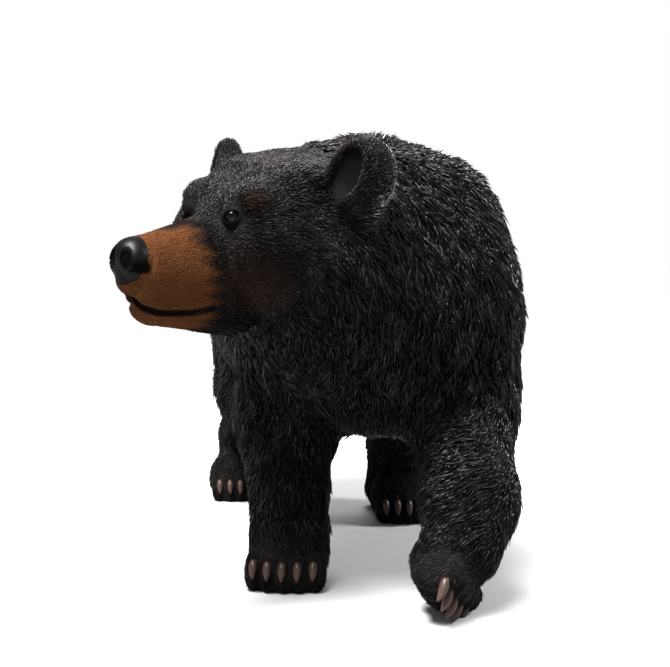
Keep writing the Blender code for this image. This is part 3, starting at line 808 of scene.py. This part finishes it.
skin_paint = fur_paint("painted_skin", faint_hairs, roughness=0.75, gloss=0.08, hair_bump=0.0006,
                       bump_source=fine_hairs)
leather = fur_paint("nose_leather", faint_hairs, roughness=0.40, gloss=0.22, hair_bump=0.0004,
                    bump_source=fine_hairs)
lock_paint = fur_paint("painted_locks", lock_ridge, roughness=0.30, gloss=0.30, hair_bump=0.0005,
                       bump_source=lock_strands)
muzzle_paint = fur_paint("muzzle_locks", lock_ridge, roughness=0.45, gloss=0.14, hair_bump=0.0003,
                         bump_source=lock_strands)
NOSE_SLOT = 1
skin_mesh.materials.clear()
skin_mesh.materials.append(skin_paint)
skin_mesh.materials.append(leather)
for polygon in skin_mesh.polygons:
    if min(nose_area[v] - in_nostril[v] for v in polygon.vertices) > 0.5:
        polygon.material_index = NOSE_SLOT
print("paints:", skin_paint.name, leather.name, lock_paint.name, muzzle_paint.name)

# %% [markdown]
# ## Small locks
# The carver's chisel left thousands of small pointed locks. That repeats, so Geometry Nodes do it:
# points are scattered on the skin, each gets a lock turned to lie along the hair, tipped up a
# little, and scaled by chance. A lock is a closed leaf of five corners, cheap enough to lay in
# tens of thousands. Two leaves bend to the sides and one is nearly straight, so that the coat does
# not look stamped.

# %% Three leaves to lay
def leaf(name, bend):
    corners = [(0, 0, -0.15), (-0.5, 0.38, -0.1), (0.5, 0.38, -0.1), (0, 0.45, 1.0), (0, 1.0, 0.6)]
    corners = [(x + bend * y * y, y, z) for x, y, z in corners]
    faces = [(0, 2, 3), (2, 4, 3), (4, 1, 3), (1, 0, 3), (0, 1, 2), (1, 4, 2)]
    mesh = bpy.data.meshes.new(name)
    mesh.from_pydata(corners, [], faces)
    keep_numbers(mesh, "ridge", [0.1, 0.05, 0.05, 1.0, 0.75])
    along = mesh.uv_layers.new(name="along")
    for loop in mesh.loops:
        x, y, z = corners[loop.vertex_index]
        along.data[loop.index].uv = (x + 0.5, y)
    mesh.shade_smooth()
    thing = bpy.data.objects.new(name, mesh)
    leaves.objects.link(thing)


leaves = bpy.data.collections.new("leaves")
for name, bend in (("leaf_left", -1.0), ("leaf_right", 0.9), ("leaf_straight", 0.15)):
    leaf(name, bend)

# %% The tree that lays them
def coat_tree():
    tree = bpy.data.node_groups.new("lay_locks", "GeometryNodeTree")
    face = tree.interface
    face.new_socket("Geometry", in_out="INPUT", socket_type="NodeSocketGeometry")
    for name, kind, value in (("Leaves", "Collection", leaves), ("Area", "String", ""),
                              ("Spacing", "Float", 0.008), ("Length", "Float", 0.03),
                              ("Width", "Float", 0.006), ("Height", "Float", 0.003),
                              ("Lift", "Float", 0.1), ("Scatter", "Float", 0.3),
                              ("Shortest", "Float", 0.4), ("Worn", "Float", 0.0),
                              ("Seed", "Int", 1), ("Paint", "Material", None)):
        socket = face.new_socket(name, in_out="INPUT", socket_type="NodeSocket" + kind)
        if value is not None and kind != "Collection":
            socket.default_value = value
    face.new_socket("Geometry", in_out="OUTPUT", socket_type="NodeSocketGeometry")
    given = node(tree, "NodeGroupInput")

    area = node(tree, "GeometryNodeInputNamedAttribute", data_type="BOOLEAN")
    scatter = node(tree, "GeometryNodeDistributePointsOnFaces", {"Density Max": 1e6},
                   distribute_method="POISSON")
    link(tree, given, "Area", area, "Name")
    link(tree, given, "Geometry", scatter, "Mesh")
    link(tree, area, "Attribute", scatter, "Selection")
    link(tree, given, "Spacing", scatter, "Distance Min")
    link(tree, given, "Seed", scatter, "Seed")

    hair = node(tree, "GeometryNodeInputNamedAttribute", {"Name": "flow"}, data_type="FLOAT_VECTOR")
    lie = node(tree, "FunctionNodeAxesToRotation", primary_axis="Z", secondary_axis="Y")
    link(tree, scatter, "Normal", lie, "Primary Axis")
    link(tree, hair, "Attribute", lie, "Secondary Axis")

    def random_value(kind, low, high):
        draw = node(tree, "FunctionNodeRandomValue", data_type=kind)
        sort = "VALUE" if kind == "FLOAT" else kind
        for socket in draw.inputs:
            if socket.type == sort and socket.name in ("Min", "Max"):
                socket.default_value = low if socket.name == "Min" else high
        return draw, next(s for s in draw.outputs if s.type == sort)

    def chance(low, high, offset):
        draw, drawn = random_value("FLOAT", low, high)
        seed = node(tree, "ShaderNodeMath", {1: offset}, operation="ADD")
        link(tree, given, "Seed", seed, 0)
        link(tree, seed, "Value", draw, "Seed")
        return drawn

    def product(first, second):
        made = node(tree, "ShaderNodeMath", operation="MULTIPLY")
        tree.links.new(first, made.inputs[0])
        tree.links.new(second, made.inputs[1])
        return made.outputs[0]

    turn = node(tree, "ShaderNodeCombineXYZ")
    tree.links.new(product(given.outputs["Lift"], chance(0.3, 1.8, 3)), turn.inputs["X"])
    tree.links.new(product(given.outputs["Scatter"], chance(-1.0, 1.0, 5)), turn.inputs["Z"])
    tip = node(tree, "FunctionNodeRotateRotation", rotation_space="LOCAL")
    to_turn = node(tree, "FunctionNodeEulerToRotation")
    link(tree, turn, "Vector", to_turn, "Euler")
    link(tree, lie, "Rotation", tip, "Rotation")
    link(tree, to_turn, "Rotation", tip, "Rotate By")

    shaggy = node(tree, "GeometryNodeInputNamedAttribute", {"Name": "shag"}, data_type="FLOAT")
    grown = node(tree, "ShaderNodeMapRange", {"To Max": 1.0})
    link(tree, shaggy, "Attribute", grown, "Value")
    link(tree, given, "Shortest", grown, "To Min")
    size = node(tree, "ShaderNodeCombineXYZ")
    for place, name, low, high, offset in (("X", "Width", 0.7, 1.4, 7), ("Y", "Length", 0.65, 1.3, 9),
                                           ("Z", "Height", 0.6, 1.4, 11)):
        drawn = product(given.outputs[name], chance(low, high, offset))
        tree.links.new(product(drawn, grown.outputs["Result"]), size.inputs[place])

    pick = node(tree, "GeometryNodeCollectionInfo", {"Separate Children": True, "Reset Children": True})
    link(tree, given, "Leaves", pick, "Collection")
    lay = node(tree, "GeometryNodeInstanceOnPoints", {"Pick Instance": True})
    _, leaf_drawn = random_value("INT", 0, 2)
    tree.links.new(leaf_drawn, lay.inputs["Instance Index"])
    link(tree, scatter, "Points", lay, "Points")
    link(tree, pick, "Instances", lay, "Instance")
    link(tree, tip, "Rotation", lay, "Rotation")
    link(tree, size, "Vector", lay, "Scale")

    tone = node(tree, "GeometryNodeStoreNamedAttribute", {"Name": "tone"},
                data_type="FLOAT", domain="INSTANCE")
    link(tree, lay, "Instances", tone, "Geometry")
    # each lock's tone is drawn between the least tone and 1; a high least tone paints a sheen over a
    # whole area
    brush_and_sheen = node(tree, "ShaderNodeMapRange", {"To Max": 1.0})
    tree.links.new(chance(0.0, 1.0, 13), brush_and_sheen.inputs["Value"])
    link(tree, given, "Worn", brush_and_sheen, "To Min")
    tree.links.new(brush_and_sheen.outputs["Result"], next(s for s in tone.inputs if s.name == "Value"))
    real = node(tree, "GeometryNodeRealizeInstances")
    paint = node(tree, "GeometryNodeSetMaterial")
    link(tree, tone, "Geometry", real, "Geometry")
    link(tree, real, "Geometry", paint, "Geometry")
    link(tree, given, "Paint", paint, "Material")
    finished = node(tree, "NodeGroupOutput")
    link(tree, paint, "Geometry", finished, "Geometry")
    return tree


lay_locks = coat_tree()
sockets = {item.name: item.identifier
           for item in lay_locks.interface.items_tree if item.in_out == "INPUT"}
print("inputs:", [name for name in sockets if name != "Geometry"])

# %% Laying the coat, one region at a time
COAT = (
    ("Area", "Spacing", "Length", "Width", "Height", "Lift", "Scatter", "Shortest", "Worn", "Seed"),
    ("coat_left", "on_left_front", 0.0056, 0.042, 0.0040, 0.0031, 0.05, 0.30, 0.42, 0.0, 11),
    ("coat_right", "on_right_front", 0.0054, 0.042, 0.0039, 0.0031, 0.045, 0.38, 0.42, 0.0, 23),
    ("coat_left_rump", "on_left_rump", 0.0060, 0.044, 0.0043, 0.0030, 0.045, 0.38, 0.42, 0.0, 37),
    ("coat_right_rump", "on_right_rump", 0.0060, 0.044, 0.0043, 0.0030, 0.045, 0.38, 0.42, 0.0, 43),
    # the face's least tone of 0.45 lightens all its locks: a painted sheen
    ("coat_face", "on_face", 0.0034, 0.021, 0.0032, 0.0024, 0.045, 0.30, 0.48, 0.45, 41),
    ("coat_muzzle", "on_muzzle", 0.0026, 0.0085, 0.0015, 0.0005, 0.03, 0.25, 0.9, 0.0, 53),
    ("coat_paws", "on_paws", 0.0045, 0.024, 0.0034, 0.0013, 0.05, 0.45, 0.5, 0.0, 61),
)
FLOOR_GAP = 0.0005          # in metres


def keep_above_floor(mesh):
    points = triples(mesh.vertices, "co")
    points[:, 2] = np.maximum(points[:, 2], FLOOR_GAP)
    mesh.vertices.foreach_set("co", points.ravel())
    mesh.update()


def drop_numbers(mesh):
    names = [a.name for a in mesh.attributes if a.name.startswith("on_") or a.name in ("flow", "shag")]
    for name in names:
        mesh.attributes.remove(mesh.attributes[name])


def lay_coat(name, sizes):
    grown = skin.copy()
    grown.data = skin_mesh.copy()
    bpy.context.scene.collection.objects.link(grown)
    layer = grown.modifiers.new("locks", "NODES")
    layer.node_group = lay_locks
    paint = muzzle_paint if name == "coat_muzzle" else lock_paint
    for label, value in {**sizes, "Leaves": leaves, "Paint": paint}.items():
        layer[sockets[label]] = value
    graph = bpy.context.evaluated_depsgraph_get()
    mesh = bpy.data.meshes.new_from_object(grown.evaluated_get(graph), depsgraph=graph)
    bare_mesh = grown.data
    bpy.data.objects.remove(grown)
    bpy.data.meshes.remove(bare_mesh)
    mesh.name = name
    keep_above_floor(mesh)
    drop_numbers(mesh)
    coat = in_scene(name, mesh)
    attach(coat, "root")
    print(name, len(mesh.polygons), "triangles")


labels, *rows = COAT
for name, *sizes in rows:
    lay_coat(name, dict(zip(labels, sizes)))
drop_numbers(skin_mesh)

# %% [markdown]
# ## Claws
# Each claw is a short almond of horn colour that lies on its toe. It is lofted: rings are swept from
# the root through the middle to the tip, wide and flat first and closing to a point. Its paint fades
# from brown at the root to pinkish tan, with a glossy varnish.

# %% Lofted claws
CLAW_RINGS = 12
CLAW_SIDES = 14


def claws_mesh():
    work = bmesh.new()
    fade = work.verts.layers.float.new("fade")
    for root, middle, tip, axes in claw_paths:
        sideways = axes @ Vector((1, 0, 0))
        rings = []
        for k in range(CLAW_RINGS + 1):
            t = k / CLAW_RINGS
            centre = (1 - t) ** 2 * root + 2 * t * (1 - t) * middle + t ** 2 * tip
            heading = (2 * (1 - t) * (middle - root) + 2 * t * (tip - middle)).normalized()
            outward = sideways.cross(heading).normalized()
            full = 0.92 * math.sin(math.pi * min(1.0, 0.16 + 0.84 * t)) ** 0.62 * (1 - 0.35 * t) + 0.04
            ring = []
            for side in range(CLAW_SIDES):
                angle = 2 * math.pi * side / CLAW_SIDES
                corner = (centre + sideways * math.cos(angle) * full
                          + outward * math.sin(angle) * full * 1.05)
                vertex = work.verts.new(to_frame @ corner)
                vertex[fade] = t
                ring.append(vertex)
            rings.append(ring)
        for one, two in zip(rings, rings[1:]):
            for side in range(CLAW_SIDES):
                following = (side + 1) % CLAW_SIDES
                work.faces.new((one[side], one[following], two[following], two[side]))
        work.faces.new(rings[0][::-1])
        work.faces.new(rings[-1])
    bmesh.ops.recalc_face_normals(work, faces=work.faces)
    mesh = mesh_from(work, "claws")
    keep_above_floor(mesh)
    mesh.shade_smooth()
    return mesh


horn, tree, horn_shader = new_paint("horn_paint")
shade = number_on(tree, "fade").outputs["Fac"]
grain = stretched_noise(tree, (260, 260, 260))
colour = mixed(tree, shade, (0.060, 0.034, 0.026), (0.19, 0.115, 0.092))
colour = mixed(tree, sums(tree, "MULTIPLY", grain, 0.6), colour, (0.045, 0.025, 0.019))
tree.links.new(colour, horn_shader.inputs["Base Color"])
horn_shader.inputs["Roughness"].default_value = 0.38
claws = in_scene("claws", claws_mesh())
claws.data.materials.append(horn)
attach(claws, "root")
print("claws:", len(claws.data.polygons), "faces")

# %% [markdown]
# ## Eyes
# The eyes are glossy balls with a dark brown iris round a black pupil. The angle between each point
# of the ball and the way it looks is kept on the mesh, and a colour ramp turns it into rings.

# %% Glossy eyes
eye_paint, tree, eye_shader = new_paint("eye_gloss")
ramp = node(tree, "ShaderNodeValToRGB")
stops = ((0.0, (0.001, 0.001, 0.001)), (0.30, (0.001, 0.001, 0.001)), (0.40, (0.005, 0.002, 0.001)),
         (0.62, (0.003, 0.0015, 0.001)), (0.70, (0.001, 0.001, 0.001)))
while len(ramp.color_ramp.elements) < len(stops):
    ramp.color_ramp.elements.new(0.5)
for element, (place, shade) in zip(ramp.color_ramp.elements, stops):
    element.position = place
    element.color = (*shade, 1)
link(tree, number_on(tree, "ring"), "Fac", ramp, "Fac")
link(tree, ramp, "Color", eye_shader, "Base Color")
eye_shader.inputs["Roughness"].default_value = 0.04
eye_shader.inputs["Specular IOR Level"].default_value = 0.5

for name, side, centre in (("left_eye", 1, eyes_at[0]), ("right_eye", -1, eyes_at[1])):
    aim = (HEAD_AXES @ on_side(side, EYE_AIM)).normalized()
    look = aim.to_track_quat("Z", "Y").to_matrix().to_4x4()
    work = bmesh.new()
    bmesh.ops.create_uvsphere(work, u_segments=48, v_segments=32, radius=EYE_RADIUS,
                              matrix=Matrix.Translation(centre) @ look)
    ring = work.verts.layers.float.new("ring")
    for vertex in work.verts:
        vertex[ring] = (vertex.co - centre).angle(aim) / (math.pi / 2)
    work.transform(to_frame)
    mesh = mesh_from(work, name + "_ball")
    mesh.shade_smooth()
    mesh.materials.append(eye_paint)
    eye = in_scene(name + "_ball", mesh)
    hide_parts(name)
    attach(eye, "root")
    print(eye.name, "at", rounded(to_frame @ centre))

# %% [markdown]
# ## Studio
# The bear stands on a wide pale floor in a white surround. A big soft lamp above its right shoulder
# models the back and the head, one fills its left side, one stands behind it, and a soft sun lights
# all of it from above. Floor and surround look nearly white to the camera but send less light back to
# the bear, or the black coat would turn grey.

# %% Floor
floor_mesh = bpy.data.meshes.new("floor")
floor_mesh.from_pydata([(-60, -60, 0), (60, -60, 0), (60, 60, 0), (-60, 60, 0)], [], [(0, 1, 2, 3)])
floor = in_scene("floor", floor_mesh)
floor_paint, tree, floor_shader = new_paint("pale_floor")
seen = node(tree, "ShaderNodeLightPath").outputs["Is Camera Ray"]
pale = mixed(tree, seen, (0.28, 0.28, 0.28), (0.93, 0.93, 0.93))
tree.links.new(pale, floor_shader.inputs["Base Color"])
floor_shader.inputs["Roughness"].default_value = 0.9
floor_mesh.materials.append(floor_paint)

# %% Lamps
LIT_AT = Vector((0, 0, 0.45))
LAMPS = (("key", (-1.1, -1.4, 3.4), 0.8, 150),
         ("fill", (3.4, 0.2, 2.6), 1.0, 110),
         ("back", (0.6, 3.4, 2.6), 1.2, 80))
for name, place, size, power in LAMPS:
    data = bpy.data.lights.new(name, "AREA")
    data.size = size
    data.energy = power
    lamp = in_scene(name, data)
    lamp.location = place
    lamp.rotation_euler = (LIT_AT - Vector(place)).to_track_quat("-Z", "Y").to_euler()
sun = bpy.data.lights.new("sky", "SUN")
sun.energy = 3.4
sun.angle = 0.5
in_scene("sky", sun).rotation_euler = (math.radians(18), math.radians(-14), 0)

# %% The surround, dim as a light and white to the camera
world = bpy.data.worlds.new("surround")
bpy.context.scene.world = world
world.use_nodes = True
tree = world.node_tree
light_on_bear = tree.nodes["Background"]
seen_behind = node(tree, "ShaderNodeBackground")
for background, strength in ((light_on_bear, 0.2), (seen_behind, 1.0)):
    background.inputs["Color"].default_value = (1, 1, 1, 1)
    background.inputs["Strength"].default_value = strength
either = node(tree, "ShaderNodeMixShader")
rays = node(tree, "ShaderNodeLightPath")
link(tree, rays, "Is Camera Ray", either, "Fac")
tree.links.new(light_on_bear.outputs["Background"], either.inputs[1])
tree.links.new(seen_behind.outputs["Background"], either.inputs[2])
tree.links.new(either.outputs["Shader"], tree.nodes["World Output"].inputs["Surface"])
bpy.context.scene.view_settings.view_transform = "Standard"
print("lamps:", [name for name, *_ in LAMPS], "and a sun")

# %% [markdown]
# ## Camera
# The photograph was taken from in front of the bear, seven degrees to its right, from just below the
# height of its nose, with a lens that holds the whole figure at 2.2 metres.

# %% Camera
CAMERA_AT = (-37.4, -222.1, 59.0)
TURN = math.radians(-7.0)
FOCUS = 1144.0              # pixels
HORIZON = 285.0             # the row of pixels at the camera's height
WIDTH, HEIGHT = 670, 667
pitch = math.atan((HEIGHT / 2 - HORIZON) / FOCUS)
data = bpy.data.cameras.new("camera")
data.sensor_width = 36
data.lens = data.sensor_width * FOCUS / WIDTH
camera = in_scene("camera", data)
camera.location = to_frame @ Vector(CAMERA_AT)
heading = Vector((-math.sin(TURN) * math.cos(pitch), math.cos(TURN) * math.cos(pitch),
                  -math.sin(pitch)))
camera.rotation_euler = heading.to_track_quat("-Z", "Y").to_euler()
bpy.context.scene.camera = camera
print("camera at", rounded(camera.location), "lens", round(data.lens, 1))
